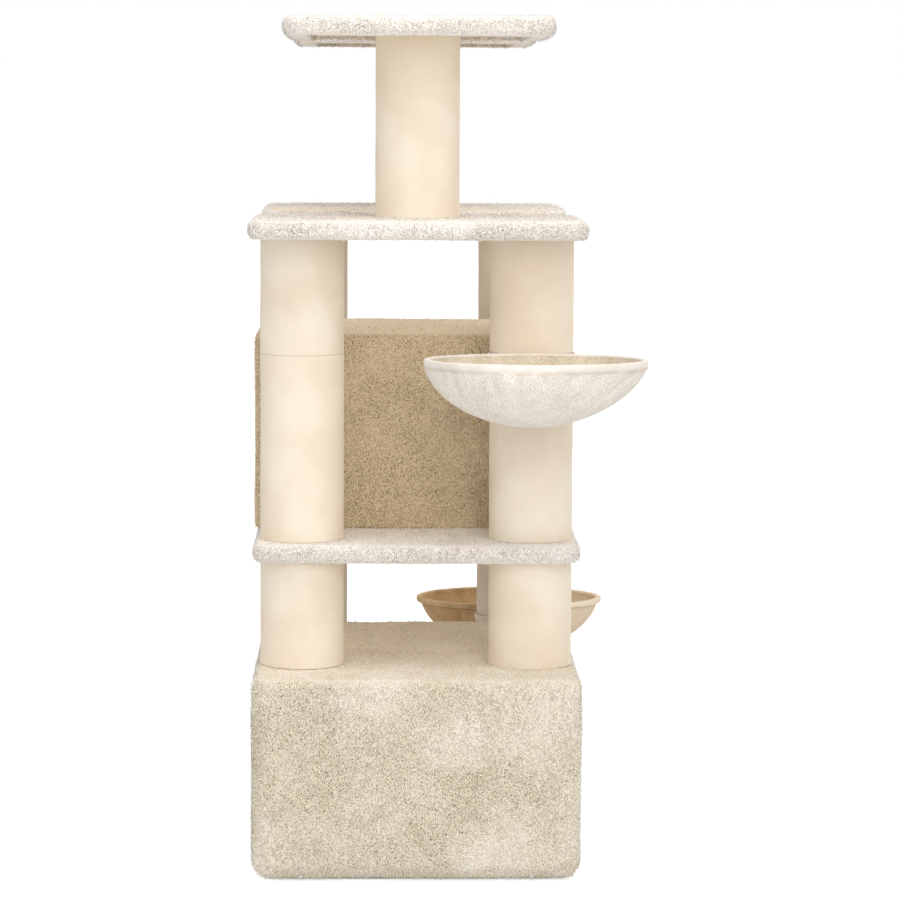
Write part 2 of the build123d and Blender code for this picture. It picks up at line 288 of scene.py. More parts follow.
def turned_in(stations_x, stations_y, low_z, rise, steps=4):
    """Short walls that go up from a window's edge, facing into it."""
    patches = []
    zs = np.linspace(low_z, low_z + rise, steps)
    for first, fixed, axis, flip in (
        (stations_x, stations_y[0], 1, True),
        (stations_x, stations_y[-1], 1, False),
        (stations_y, stations_x[0], 0, False),
        (stations_y, stations_x[-1], 0, True),
    ):
        u, v = np.meshgrid(first, zs, indexing="ij")
        columns = [u.ravel(), v.ravel()]
        columns.insert(axis, np.full(u.size, fixed))
        faces = grid_faces(len(first), steps)
        patches.append([np.column_stack(columns), faces if flip else faces[:, ::-1]])
    return patches


def board_grid(low, high, step):
    """Stations of a covered board: fine ones along its edges, step ones between."""
    xs = spaced(low[0], high[0], step, 2 * MM, 12 * MM)
    ys = spaced(low[1], high[1], step, 2 * MM, 12 * MM)
    zs = np.linspace(low[2], high[2], round((high[2] - low[2]) / (1.7 * MM)) + 1)
    return xs, ys, zs


def deck_cover(node, finish, strand_finish, step, seed, lip=None):
    """Plush round a board: a softened box with tufts, open under the board inside its lip."""
    low, high = (np.array(c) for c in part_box(node))
    low[:2] += 1 * MM
    high[:2] -= 1 * MM
    xs, ys, zs = board_grid(low, high, step)
    patches = box_patches(xs, ys, zs)
    walls = []
    if lip:
        inside_x = xs[(xs > low[0] + lip) & (xs < high[0] - lip)]
        inside_y = ys[(ys > low[1] + lip) & (ys < high[1] - lip)]
        window = ((inside_x[0], inside_y[0]), (inside_x[-1], inside_y[-1]))
        patches["bottom"] = without_window(patches["bottom"], window)
        walls = turned_in(inside_x, inside_y, low[2], 6 * MM)
    sides = [
        [softened(p, low, high, BOARD_CORNER, DECK_EDGE, DECK_EDGE), f] for p, f in patches.values()
    ]
    points, faces = joined(sides + walls)
    points = tufted(points, faces, seed)
    pile(f"{node}_pile", points, faces, strand_finish, 2.0 * MM, 4.4 * MM, seed)
    return make_piece(f"{node}_plush", points, faces, finish, TREE, [node])


def base_cover(finish, strand_finish, step, house_end, seed):
    """Plush on the base: a softened slab that narrows where the lower house hangs over it.

    Under the house its sides are drawn in over a short smooth step, and its left end is drawn
    in evenly over the last stretch, so that nothing shows outside the house's own plush.
    """
    side_inset, side_step = 21 * MM, 8 * MM
    end_inset, end_stretch = 15 * MM, 80 * MM
    low, high = (np.array(c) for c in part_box("base_cover"))
    patches = box_patches(*board_grid(low, high, step))
    sides = [
        [softened(p, low, high, BOARD_CORNER, BASE_EDGE, BASE_EDGE), f] for p, f in patches.values()
    ]
    points, faces = joined(sides)
    points = tufted(points, faces, seed, sway=0.3 * MM)
    points[:, 2] = np.maximum(points[:, 2], 0)
    under = np.clip((house_end - 1 * MM - points[:, 0]) / side_step, 0, 1)
    under = under * under * (3 - 2 * under)
    points[:, 1] *= 1 - under * side_inset / high[1]
    end = np.clip((low[0] + end_stretch - points[:, 0]) / end_stretch, 0, 1)
    points[:, 0] += end_inset * end
    outside = points[faces].mean(axis=1)[:, 0] > house_end
    pile("base_cover_pile", points, faces[outside], strand_finish, 2.1 * MM, 3.6 * MM, seed, 0.3)
    covered = ["base_cover", "base_board"]
    return make_piece("base_cover_plush", points, faces, finish, TREE, covered)


def door_patch(xs, zs, centre, radius, face_y, depth=0.0, roll=0.0):
    """The face round a door and, where there is a depth, the side of its hole.

    Rings run from a square window in the face's grid to the circle, over a quarter-round
    edge, and straight in. Returns the rings and the window's low and high corners.
    """
    reach = radius + 10 * MM
    left = np.searchsorted(xs, centre[0] - reach) - 1
    right = np.searchsorted(xs, centre[0] + reach)
    bottom = np.searchsorted(zs, centre[1] - reach) - 1
    top = np.searchsorted(zs, centre[1] + reach)
    bottom_side = [(xs[i], zs[bottom]) for i in range(left, right)]
    right_side = [(xs[right], zs[j]) for j in range(bottom, top)]
    top_side = [(xs[i], zs[top]) for i in range(right, left, -1)]
    left_side = [(xs[left], zs[j]) for j in range(top, bottom, -1)]
    rim = np.array(bottom_side + right_side + top_side + left_side)
    away = rim - centre
    direction = away / np.linalg.norm(away, axis=1, keepdims=True)
    rings = []
    for s in np.linspace(0, 1, 6):
        plan = rim * (1 - s) + (centre + direction * (radius + roll)) * s
        rings.append(np.column_stack([plan[:, 0], np.full(len(plan), face_y), plan[:, 1]]))
    if depth > 0:
        for turn in np.linspace(0, math.pi / 2, 6)[1:]:
            plan = centre + direction * (radius + roll * (1 - math.sin(turn)))
            inward = face_y + roll * (1 - math.cos(turn))
            rings.append(np.column_stack([plan[:, 0], np.full(len(plan), inward), plan[:, 1]]))
        for inward in np.linspace(roll, depth, 7)[1:]:
            plan = centre + direction * radius
            rings.append(np.column_stack([plan[:, 0], np.full(len(plan), face_y + inward), plan[:, 1]]))
    faces = grid_faces(len(rings), len(rim), closed=True)
    window = (np.array([xs[left], zs[bottom]]), np.array([xs[right], zs[top]]))
    return [np.vstack(rings), faces], window


def cut_door(patches, xs, zs, door, door_r, face_y, depth=0.0, roll=0.0):
    """Takes the cells round the door out of the front patch and returns the rings that fill them."""
    ring, window = door_patch(xs, zs, door[[0, 2]], door_r, face_y, depth, roll)
    points, faces = patches["front"]
    middle = points[faces].mean(axis=1)[:, [0, 2]]
    inside = np.all((middle > window[0]) & (middle < window[1]), axis=1)
    patches["front"] = [points, faces[~inside]]
    return ring


def room_of(house):
    """Low and high corners of the space between a house's panels."""
    boxes = {key: [np.array(c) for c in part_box(f"{house}_{key}_panel")] for key in PANELS}
    low = np.array([boxes["left"][1][0], boxes["front"][1][1], boxes["front"][0][2]])
    high = np.array([boxes["right"][0][0], boxes["back"][0][1], boxes["top"][0][2]])
    return low, high


def house_lining(house, finish, door, door_r, seed):
    """Felt on the walls and ceiling of a house: a box that faces inwards, with the door's circle.

    It stands for the panels that it and the plush outside enclose.
    """
    low, high = room_of(house)
    low, high = low + [0.4 * MM, 0.4 * MM, 0], high - 0.4 * MM
    xs, ys, zs = (spaced(low[k], high[k], 6 * MM, 3 * MM, 9 * MM) for k in range(3))
    patches = box_patches(xs, ys, zs, ["bottom"])
    ring = cut_door(patches, xs, zs, door, door_r, low[1])
    walls = [[softened(p, low, high, 6 * MM, 5 * MM, 0), f] for p, f in patches.values()]
    points, faces = joined(walls + [ring])
    points = tufted(points, faces, seed, 0.15 * MM, 0.15 * MM, 0.5 * MM)
    panels = [f"{house}_{key}_panel" for key in PANELS]
    return make_piece(f"{house}_lining", points, faces[:, ::-1], finish, TREE, panels)


def house_cover(
    node, finish, strand_finish, step, door, door_r, corner, bottom_edge, turn_in, seed,
    top_share=TOP_SHARE,
):
    """Plush on a house: a softened box, open below inside its turned-in hem, with its door.

    corner rounds the plan, bottom_edge the long lower edges, and turn_in is the hem's width.
    """
    low, high = (np.array(c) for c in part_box(node))
    xs = spaced(low[0], high[0], step, 2.2 * MM, 16 * MM)
    ys = spaced(low[1], high[1], step, 2.2 * MM, 16 * MM)
    zs = spaced(low[2], high[2], step, 2.2 * MM, 16 * MM)
    patches = box_patches(xs, ys, zs)
    hem = ((low[0] + turn_in, low[1] + turn_in), (high[0] - turn_in, high[1] - turn_in))
    patches["bottom"] = without_window(patches["bottom"], hem)
    wall = room_of(node[:-6])[0][1] - low[1]
    ring = cut_door(patches, xs, zs, door, door_r, low[1], wall + 0.5 * MM, 4 * MM)
    sides = [[softened(p, low, high, corner, 13 * MM, bottom_edge), f] for p, f in patches.values()]
    points, faces = joined(sides + [ring])
    points = tufted(points, faces, seed, sway=1.0 * MM)
    pile(
        f"{node}_pile", points, faces, strand_finish, 2.6 * MM, 3.9 * MM, seed, 0.4, top_share
    )
    return make_piece(f"{node}_plush", points, faces, finish, TREE, [node])


# ---------------------------------------------------------------- posts


def sleeve(node, finish, seed):
    """Cloth on a length of post: a turned profile with rolled ends and one sewn seam.

    The seam is a shallow groove of bell-shaped section down the side that faces the middle
    of the tree, and the cloth swells by a slow random field.
    """
    low, high = (np.array(c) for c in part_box(node))
    centre = (low[:2] + high[:2]) / 2
    radius = (high[0] - low[0]) / 2
    around = 96
    angle = np.arange(around) * TAU / around
    roll = 1.2 * MM
    turns = np.linspace(0, math.pi / 2, 4)
    start = [(radius - 4 * MM, low[2])]
    start += [(radius - roll + roll * math.sin(t), low[2] + roll - roll * math.cos(t)) for t in turns]
    end = [(r, low[2] + high[2] - z) for r, z in start[::-1]]
    rows = max(8, round((high[2] - low[2]) / (8 * MM)))
    middle = [(radius, z) for z in np.linspace(low[2] + 3 * MM, high[2] - 3 * MM, rows)]
    profile = np.array(start + middle + end)
    r, z = profile[:, :1], profile[:, 1:]
    seam_angle = 0.0 if centre[0] < 0 else math.pi
    off = (angle - seam_angle + math.pi) % TAU - math.pi
    groove = 0.9 * MM * np.exp(-((off * radius / (1.6 * MM)) ** 2))
    r = r - groove[None, :]
    x = centre[0] + r * np.cos(angle)
    y = centre[1] + r * np.sin(angle)
    points = np.column_stack([x.ravel(), y.ravel(), np.broadcast_to(z, x.shape).ravel()])
    faces = grid_faces(len(profile), around, closed=True)
    swell = 0.35 * MM * wander(points, 35 * MM, seed) + 0.12 * MM * wander(points, 6 * MM, seed + 5)
    outward = np.column_stack([np.cos(angle), np.sin(angle), np.zeros(around)])
    points += np.tile(outward, (len(profile), 1)) * swell[:, None]
    return make_piece(f"{node}_cloth", points, faces, finish, TREE, [node])


# ---------------------------------------------------------------- baskets


def bowl_radius(depth, full_depth, rim_radius):
    """The bowl's outline: a soft oval, r = R (1 - (d / D)^1.5)^(1 / 2)."""
    share = np.clip(depth / full_depth, 0, 1)
    return rim_radius * np.sqrt(1 - share**1.5)


def bowl_sheet(rim_z, rim_radius, full_depth, pleats, amount, hang, seed):
    """A gathered cloth bowl on a grid of angle and depth, about its own axis.

    Pleats are waves round the bowl whose number drifts with a random field, and they lean as
    they go down. They are deepest just under the rim and die out towards the floor. Between
    them the cloth sags in slow waves. hang is how far its bottom has slipped along Y.
    """
    around, down = 260, 60
    angle = np.arange(around) * TAU / around
    s = np.linspace(0, 1, down)
    depth = full_depth * np.sin(s * math.pi / 2) ** 1.3
    radius = bowl_radius(depth, full_depth, rim_radius)
    radius[-1] = 0
    cosine, sine = np.cos(angle), np.sin(angle)
    lean = angle[None, :] + 0.35 * s[:, None]
    ring = np.stack([np.cos(lean), np.sin(lean), 0.6 * np.broadcast_to(s[:, None], lean.shape)], axis=2)
    ring = ring.reshape(-1, 3)
    drift = wander(ring, 0.5, seed).reshape(lean.shape)
    strength = np.clip(0.35 + 1.3 * wander(ring, 0.3, seed + 3).reshape(lean.shape), 0, 1.5)
    crest = np.abs(np.sin(lean * pleats / 2 + 2.4 * drift)) ** 0.5 - 0.75
    fold = amount * (s * 4.2 * np.exp(1 - s * 4.2))[:, None] * crest * strength
    broad = 2.2 * MM * wander(ring, 0.8, seed + 9).reshape(lean.shape) * np.sin(s * math.pi)[:, None]
    r = np.maximum(radius[:, None] + (fold + broad) * (radius[:, None] > 0), 0)
    r[-1] = 0
    z = rim_z - depth[:, None] - 0.4 * fold
    z[-1] = z[-1].mean()
    slip = hang * (depth / full_depth)[:, None]
    points = np.column_stack([(r * cosine).ravel(), (r * sine + slip).ravel(), z.ravel()])
    return points, grid_faces(down, around, closed=True)


def cloth_ring(radius, width, height, inner_height, gathers, seed):
    """A band: a flattened oval section carried round a circle, puckered by its stitches.

    Its inner side reaches down only inner_height from the top.
    """
    around, section = 300, 16
    angle = np.arange(around) * TAU / around
    turn = np.arange(section) * TAU / section
    circle = np.column_stack([np.cos(angle), np.sin(angle), np.zeros(around)])
    pucker = 1 + 0.03 * np.sin(angle * gathers + 3 * wander(circle, 0.5, seed))
    pucker = pucker + 0.04 * wander(circle, 0.12, seed + 2)
    square = 3.2
    across = np.sign(np.cos(turn)) * np.abs(np.cos(turn)) ** (2 / square) * width / 2
    up = np.sign(np.sin(turn)) * np.abs(np.sin(turn)) ** (2 / square) * height / 2
    inward = np.clip(-2 * across / width, 0, 1)
    up = height / 2 - (height / 2 - up) * (1 - inward * (1 - inner_height / height))
    r = radius + across[:, None] * pucker[None, :]
    z = up[:, None] * pucker[None, :]
    points = np.column_stack([(r * np.cos(angle)).ravel(), (r * np.sin(angle)).ravel(), z.ravel()])
    faces = grid_faces(section, around, closed=True)
    index = np.arange(section * around).reshape(section, around)
    last, first = index[-1], index[0]
    wrap = np.stack([last, np.roll(last, -1), np.roll(first, -1), first], axis=1)
    return points, np.vstack([faces, wrap])


def basket(
    prefix, outside, inside, binding, thread, roll_width, roll_height, tuck, pleat, hang, seed
):
    """Cloth, lining, binding, seam and collar of one basket.

    All but the collar are drawn about the hoop's middle and tipped with it: the hoop falls towards
    +X by the angle whose sine is its extra height over its width. tuck is how far the cloth
    starts inside the hoop's outside.
    """
    body = f"{prefix}_basket"
    hoop_low, hoop_high = (np.array(c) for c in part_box(f"{body}_hoop"))
    wire = 3.5 * MM
    middle = (hoop_low + hoop_high) / 2
    size = hoop_high - hoop_low
    hoop_radius = size[1] / 2 - wire
    tip = math.asin((size[2] - 2 * wire) / (2 * hoop_radius))
    bowl_low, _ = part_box(f"{body}_bowl")
    floor_z = bowl_low[2] - middle[2]
    cloth_z, lining_z = 2 * MM - roll_height / 2, roll_height / 2 - 3 * MM
    pleats = 26
    cloth_sheet = bowl_sheet(
        cloth_z, hoop_radius + wire - tuck, cloth_z - floor_z, pleats, pleat, hang, seed
    )
    lining_radius, lining_depth = hoop_radius - wire - 0.6 * MM, lining_z - floor_z - 3 * MM
    lining_sheet = bowl_sheet(lining_z, lining_radius, lining_depth, pleats, 0.7 * pleat, hang, seed)
    seam = cloth_ring(hoop_radius + wire - tuck + 0.2 * MM, 1.6 * MM, 1.6 * MM, 1.6 * MM, 160, seed + 30)
    sheets = (
        ("cloth", cloth_sheet, outside, [f"{body}_bowl"]),
        ("lining", lining_sheet, inside, []),
        (
            "rim", cloth_ring(hoop_radius, roll_width, roll_height, 5 * MM, 46, seed + 20),
            binding, [f"{body}_binding"],
        ),
        ("seam", (seam[0] - [0, 0, roll_height / 2 + 0.2 * MM], seam[1]), thread, []),
    )
    turn = np.array([[math.cos(tip), 0, math.sin(tip)], [0, 1, 0], [-math.sin(tip), 0, math.cos(tip)]])
    for name, (points, faces), finish, replaced in sheets:
        placed = points @ turn.T + middle
        wound = faces if name == "lining" else faces[:, ::-1]
        make_piece(f"{body}_{name}", placed, wound, finish, body, replaced)

    collar_low, collar_high = (np.array(c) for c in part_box(f"{body}_collar"))
    height, wall = (collar_high[2] - collar_low[2]) / 2 + 2.5 * MM, 2 * MM
    radius = (collar_high[0] - collar_low[0] - wall) / 2
    points, faces = cloth_ring(radius, wall, height, height, 31, seed + 40)
    collar_middle = (collar_low + collar_high) / 2
    placed = points + [collar_middle[0], collar_middle[1], collar_low[2] + height / 2]
    make_piece(
        f"{body}_neck", placed, faces[:, ::-1], finishes["post_cloth"], body, [f"{body}_collar"]
    )


# ---------------------------------------------------------------- finishes


class Finish:
    """A material under construction: nodes are added by kind and linked by name."""

    def __init__(self, name):
        self.material = bpy.data.materials.new(name)
        self.material.use_nodes = True
        self.nodes = self.material.node_tree.nodes
        self.links = self.material.node_tree.links
        self.shader = self.nodes["Principled BSDF"]
        self.place = self.add("ShaderNodeTexCoord").outputs["Object"]

    def add(self, kind, **settings):
        node = self.nodes.new(kind)
        for key, value in settings.items():
            setattr(node, key, value)
        return node

    def link(self, source, target):
        self.links.new(source, target)

    def scaled(self, scale, turn=(0, 0, 0)):
        """Object coordinates turned and stretched."""
        node = self.add("ShaderNodeMapping")
        node.inputs["Rotation"].default_value = turn
        node.inputs["Scale"].default_value = scale
        self.link(self.place, node.inputs["Vector"])
        return node.outputs["Vector"]

    def noise(self, place, scale, detail=2.0, roughness=0.5, distortion=0.0):
        node = self.add("ShaderNodeTexNoise")
        node.inputs["Scale"].default_value = scale
        node.inputs["Detail"].default_value = detail
        node.inputs["Roughness"].default_value = roughness
        node.inputs["Distortion"].default_value = distortion
        self.link(place, node.inputs["Vector"])
        return node.outputs["Fac"]

    def cells(self, place, scale, feature="F1"):
        node = self.add("ShaderNodeTexVoronoi", feature=feature)
        node.inputs["Scale"].default_value = scale
        self.link(place, node.inputs["Vector"])
        return node.outputs["Distance"]

    def away_from(self, x, y):
        """Distance from the upright line at x, y."""
        flat = self.add("ShaderNodeVectorMath", operation="MULTIPLY")
        flat.inputs[1].default_value = (1, 1, 0)
        self.link(self.place, flat.inputs[0])
        node = self.add("ShaderNodeVectorMath", operation="DISTANCE")
        node.inputs[1].default_value = (x, y, 0)
        self.link(flat.outputs[0], node.inputs[0])
        return node.outputs["Value"]

    def between(self, value, low, high, out_low=0.0, out_high=1.0):
        """Maps low..high to out_low..out_high, clamped."""
        node = self.add("ShaderNodeMapRange")
        limits = {"From Min": low, "From Max": high, "To Min": out_low, "To Max": out_high}
        for key, number in limits.items():
            node.inputs[key].default_value = number
        self.link(value, node.inputs["Value"])
        return node.outputs["Result"]

    def maths(self, operation, first, second):
        node = self.add("ShaderNodeMath", operation=operation)
        for socket, value in zip(node.inputs, (first, second)):
            if isinstance(value, (int, float)):
                socket.default_value = value
            else:
                self.link(value, socket)
        return node.outputs[0]

    def mix(self, factor, first, second):
        """Blend of two colours; each is a colour or a socket."""
        node = self.add("ShaderNodeMix", data_type="RGBA")
        for socket, value in ((node.inputs[0], factor), (node.inputs[6], first), (node.inputs[7], second)):
            if isinstance(value, (tuple, float, int)):
                socket.default_value = value
            else:
                self.link(value, socket)
        return node.outputs[2]

    def bump(self, height, strength, distance, under=None):
        node = self.add("ShaderNodeBump")
        node.inputs["Strength"].default_value = strength
        node.inputs["Distance"].default_value = distance
        self.link(height, node.inputs["Height"])
        if under:
            self.link(under, node.inputs["Normal"])
        return node.outputs["Normal"]

    def done(
        self, colour, normal=None, roughness=1.0, sheen=0.0, specular=0.1, metallic=0.0, tint=(1, 1, 1, 1)
    ):
        self.link(colour, self.shader.inputs["Base Color"])
        if normal:
            self.link(normal, self.shader.inputs["Normal"])
        self.shader.inputs["Roughness"].default_value = roughness
        self.shader.inputs["Sheen Weight"].default_value = sheen
        self.shader.inputs["Sheen Roughness"].default_value = 0.5
        self.shader.inputs["Sheen Tint"].default_value = tint
        self.shader.inputs["Specular IOR Level"].default_value = specular
        self.shader.inputs["Metallic"].default_value = metallic
        return self.material


def tone(red, green, blue):
    """A display colour from 0 to 255 as the linear colour that a shader takes."""
    value = np.array([red, green, blue]) / 255
    linear = np.where(value <= 0.04045, value / 12.92, ((value + 0.055) / 1.055) ** 2.4)
    return (*linear.tolist(), 1.0)


def plush(name, tip, root, pale, level, spread=0.5, depth=1.0):
    """Cut pile: fine leaning strands with dark specks between them, brushed paler in clouds.

    The dark specks are painted shade in the gaps of the pile. Where it lies level it is
    flattened, and away from the left end and the front it takes the level colour: painted light
    and shade on the tops, darker and warmer on the decks, lighter and warmer on the houses. Under
    the decks it is flattened too.
    """
    f = Finish(name)
    upright = f.noise(f.scaled((1, 1, 0.42)), 980, 1.5, 0.6, 0.3)
    leaning = f.noise(f.scaled((1, 1, 0.5), (0.6, 0.5, 0.7)), 900, 1.5, 0.6, 0.3)
    tuft = f.maths("ADD", f.maths("MULTIPLY", upright, 0.5), f.maths("MULTIPLY", leaning, 0.5))
    clouds = f.noise(f.place, 10, 2.0, 0.5, 0.4)
    drift = f.noise(f.place, 55, 2.0, 0.55)
    soft = f.maths("ADD", f.maths("MULTIPLY", clouds, 0.75), f.maths("MULTIPLY", drift, 0.25))
    brushed = f.between(soft, 0.55 - 0.2 * spread, 0.80 - 0.2 * spread)
    # gap is painted shade: dark specks of the root colour where the gaps of the pile lie in shade
    gap = f.maths("MULTIPLY", f.between(tuft, 0.54, 0.38), f.between(brushed, 0, 1, depth, 0.5 * depth))
    facing = f.add("ShaderNodeSeparateXYZ")
    f.link(f.add("ShaderNodeNewGeometry").outputs["Normal"], facing.inputs["Vector"])
    along = f.add("ShaderNodeSeparateXYZ")
    f.link(f.place, along.inputs["Vector"])
    flat = f.between(facing.outputs["Z"], 0.6, 0.95)
    gap = f.maths("MULTIPLY", gap, f.between(flat, 0, 1, 1, 0.35))
    gap = f.maths("MULTIPLY", gap, f.between(facing.outputs["Z"], -0.95, -0.6, 0.15, 1))
    # painted light and shade on level tops: they take the level colour by place along and across the tree
    inland = f.between(along.outputs["X"], -0.41, -0.12, 0, 1)
    rearward = f.between(along.outputs["Y"], -0.2, 0.15, 0.6, 1)
    painted_top_light = f.maths("MULTIPLY", flat, f.maths("MULTIPLY", inland, rearward))
    colour = f.mix(painted_top_light, f.mix(brushed, tip, pale), level)
    colour = f.mix(gap, colour, root)
    normal = f.bump(tuft, 0.6, 1.0 * MM)
    return f.done(colour, normal, sheen=0.3, specular=0.0, tint=pale)


def strand(name, tip, deep):
    """Strands of cut pile, each a little lighter or deeper than the next."""
    f = Finish(name)
    shift = f.noise(f.place, 620, 1.5, 0.6)
    clouds = f.noise(f.place, 12, 2.0, 0.5, 0.4)
    blend = f.maths("ADD", f.maths("MULTIPLY", shift, 0.7), f.maths("MULTIPLY", clouds, 0.3))
    return f.done(f.mix(f.between(blend, 0.39, 0.49), deep, tip), sheen=0.3, specular=0.0, tint=tip)


def nap(name, light, deep):
    """Short smooth nap on a post: broad soft blotches, a faint grain and a few pale flecks."""
    f = Finish(name)
    blotch = f.noise(f.place, 13, 2, 0.5)
    grain = f.noise(f.scaled((1, 1, 1.6)), 420, 2, 0.6)
    blend = f.maths("ADD", f.maths("MULTIPLY", blotch, 0.85), f.maths("MULTIPLY", grain, 0.15))
    flecks = f.between(f.noise(f.place, 260, 1.5, 0.6), 0.66, 0.78, 0, 0.35)
    colour = f.mix(flecks, f.mix(f.between(blend, 0.38, 0.62), deep, light), (1, 0.97, 0.92, 1))
    normal = f.bump(grain, 0.12, 0.4 * MM)
    return f.done(colour, normal, sheen=0.4, specular=0.0, tint=light)


def cloth(name, light, deep, speck=0.35, beside=None, front=None):
    """Short fleece on a basket: fine speckle with slow shifts of tone.

    beside is (x, y, colour) of an upright post beside which the cloth takes the post's colour.
    front is (y, colour): the cloth fades to that colour over the 140 mm behind y, which is painted
    light on the side towards the front.
    """
    f = Finish(name)
    grain = f.noise(f.place, 850, 1.5, 0.6)
    slow = f.noise(f.place, 30, 2, 0.5)
    blend = f.maths("ADD", f.maths("MULTIPLY", grain, speck), f.maths("MULTIPLY", slow, 1 - speck))
    colour = f.mix(f.between(blend, 0.38, 0.60), deep, light)
    if beside:
        colour = f.mix(f.between(f.away_from(beside[0], beside[1]), 66 * MM, 88 * MM), beside[2], colour)
    # front paints light: the cloth turns paler towards the lit front side
    if front:
        along = f.add("ShaderNodeSeparateXYZ")
        f.link(f.place, along.inputs["Vector"])
        painted_front_light = f.between(along.outputs["Y"], front[0] + 140 * MM, front[0])
        paler = f.mix(f.between(grain, 0.3, 0.7, 0.35, 0), front[1], deep)
        colour = f.mix(painted_front_light, colour, paler)
    return f.done(colour, f.bump(grain, 0.5, 0.8 * MM), sheen=0.35, specular=0.0, tint=light)


def chipboard(name, light, deep):
    """Raw board: flattened flakes of many tones."""
    f = Finish(name)
    flakes = f.cells(f.scaled((1, 1, 2.2)), 260)
    grain = f.noise(f.place, 150, 4, 0.7)
    blend = f.maths("ADD", f.maths("MULTIPLY", flakes, 0.6), f.maths("MULTIPLY", grain, 0.6))
    colour = f.mix(f.between(blend, 0.25, 0.75), deep, light)
    return f.done(colour, f.bump(grain, 0.2, 0.3 * MM), roughness=0.85, specular=0.25)


def metal(name, light, deep, roughness, metallic=1.0):
    """Plated or painted steel with faint handling marks."""
    f = Finish(name)
    marks = f.noise(f.scaled((1, 1, 4)), 90, 3, 0.6)
    colour = f.mix(f.between(marks, 0.35, 0.7), deep, light)
    normal = f.bump(marks, 0.05, 0.2 * MM)
    return f.done(colour, normal, roughness=roughness, specular=0.5, metallic=metallic)


upper_post = [(low + high) / 2 for low, high in zip(*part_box("upper_basket_collar"))][:2]
basket_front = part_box("lower_basket_hoop")[0][1] + 50 * MM
finishes = {
    # plush takes tip, root, pale and level: root is painted shade in the gaps of the pile, and level is
    # painted light and shade on its tops
    "cream_plush": plush(
        "cream plush", tone(243, 236, 227), tone(112, 102, 88), tone(250, 243, 238), tone(240, 221, 194), 0.9
    ),
    "beige_plush": plush(
        "beige plush", tone(230, 218, 194), tone(100, 86, 62), tone(240, 230, 217), tone(252, 230, 198), 0.7
    ),
    # the upper house's tan is partly its own colour and partly painted shade: a darker, yellower beige for
    # the house that sits in shade between the posts
    "tan_plush": plush(
        "tan plush with painted shade", tone(226, 206, 172), tone(96, 78, 50), tone(228, 208, 176), tone(250, 236, 210), 0.6
    ),
    "house_felt": cloth("house felt", tone(226, 208, 178), tone(196, 174, 140), 0.6),
    "cream_strands": strand("cream strands", tone(255, 251, 244), tone(222, 212, 197)),
    "beige_strands": strand("beige strands", tone(255, 252, 240), tone(188, 170, 138)),
    "tan_strands": strand("tan strands with painted shade", tone(254, 238, 208), tone(168, 142, 102)),
    "post_cloth": nap("post nap", tone(235, 225, 207), tone(228, 213, 193)),
    "white_basket_cloth": cloth("white basket fleece", tone(254, 248, 239), tone(196, 187, 174), 0.85),
    # the lower basket's tan and brown are partly its own colour and partly painted shade, and front paints
    # light on its front side
    "tan_basket_cloth": cloth(
        "tan basket fleece with painted light and shade", tone(232, 200, 161), tone(184, 145, 105), 0.7,
        front=(basket_front, tone(240, 226, 202)),
    ),
    "basket_lining": cloth("basket lining", tone(228, 218, 200), tone(184, 170, 146), 0.75),
    "brown_lining": cloth(
        "brown lining with painted light and shade", tone(228, 194, 150), tone(164, 130, 92), 0.7,
        front=(basket_front, tone(222, 204, 176)),
    ),
    "white_binding": cloth(
        "white binding", tone(235, 228, 219), tone(221, 212, 202), beside=(*upper_post, tone(232, 214, 190))
    ),
    "tan_binding": cloth(
        "tan binding with painted light and shade", tone(232, 204, 166), tone(194, 164, 126), front=(basket_front, tone(244, 232, 210))
    ),
    "beige_thread": cloth("beige thread", tone(232, 222, 208), tone(204, 191, 173)),
    "brown_thread": cloth("brown thread", tone(178, 146, 106), tone(146, 114, 76)),
    # the perch boards' near-white tone is partly a pale cover and partly painted light on undersides that
    # get little light
    "perch_board": chipboard("perch board with painted light", tone(255, 246, 226), tone(244, 224, 190)),
    "chipboard": chipboard("chipboard", tone(205, 178, 138), tone(150, 118, 80)),
    "cardboard_tube": chipboard("cardboard", tone(186, 154, 114), tone(160, 128, 90)),
    "plywood_disc": chipboard("plywood", tone(214, 186, 142), tone(180, 148, 104)),
    "zinc_steel": metal("zinc steel", tone(205, 205, 202), tone(165, 165, 162), 0.35),
    "brass_insert": metal("brass", tone(214, 184, 112), tone(176, 142, 76), 0.3),
    "enamelled_steel": metal("brown enamel", tone(112, 92, 72), tone(84, 68, 52), 0.45, 0.0),
}

for part in frame["record"]["subparts"]:
    if part["material_slot"] in finishes:
        cad_object = frame["nodes"][part["node"]]
        cad_object.data.materials.clear()
        # perch boards take the pale perch board finish, partly painted light
        finish_name = "perch_board" if part["node"].endswith("perch_board") else part["material_slot"]
        cad_object.data.materials.append(finishes[finish_name])


# ---------------------------------------------------------------- the tree

cream, beige, tan = finishes["cream_plush"], finishes["beige_plush"], finishes["tan_plush"]
house_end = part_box("lower_house_cover")[1][0]
openings = {o["name"]: np.array(o["box_m"]) for o in frame["record"]["physics"]["openings"]}
lower_door = openings["lower_house_door"].mean(axis=0)
upper_door = openings["upper_house_door"].mean(axis=0)

cream_strands, felt = finishes["cream_strands"], finishes["house_felt"]

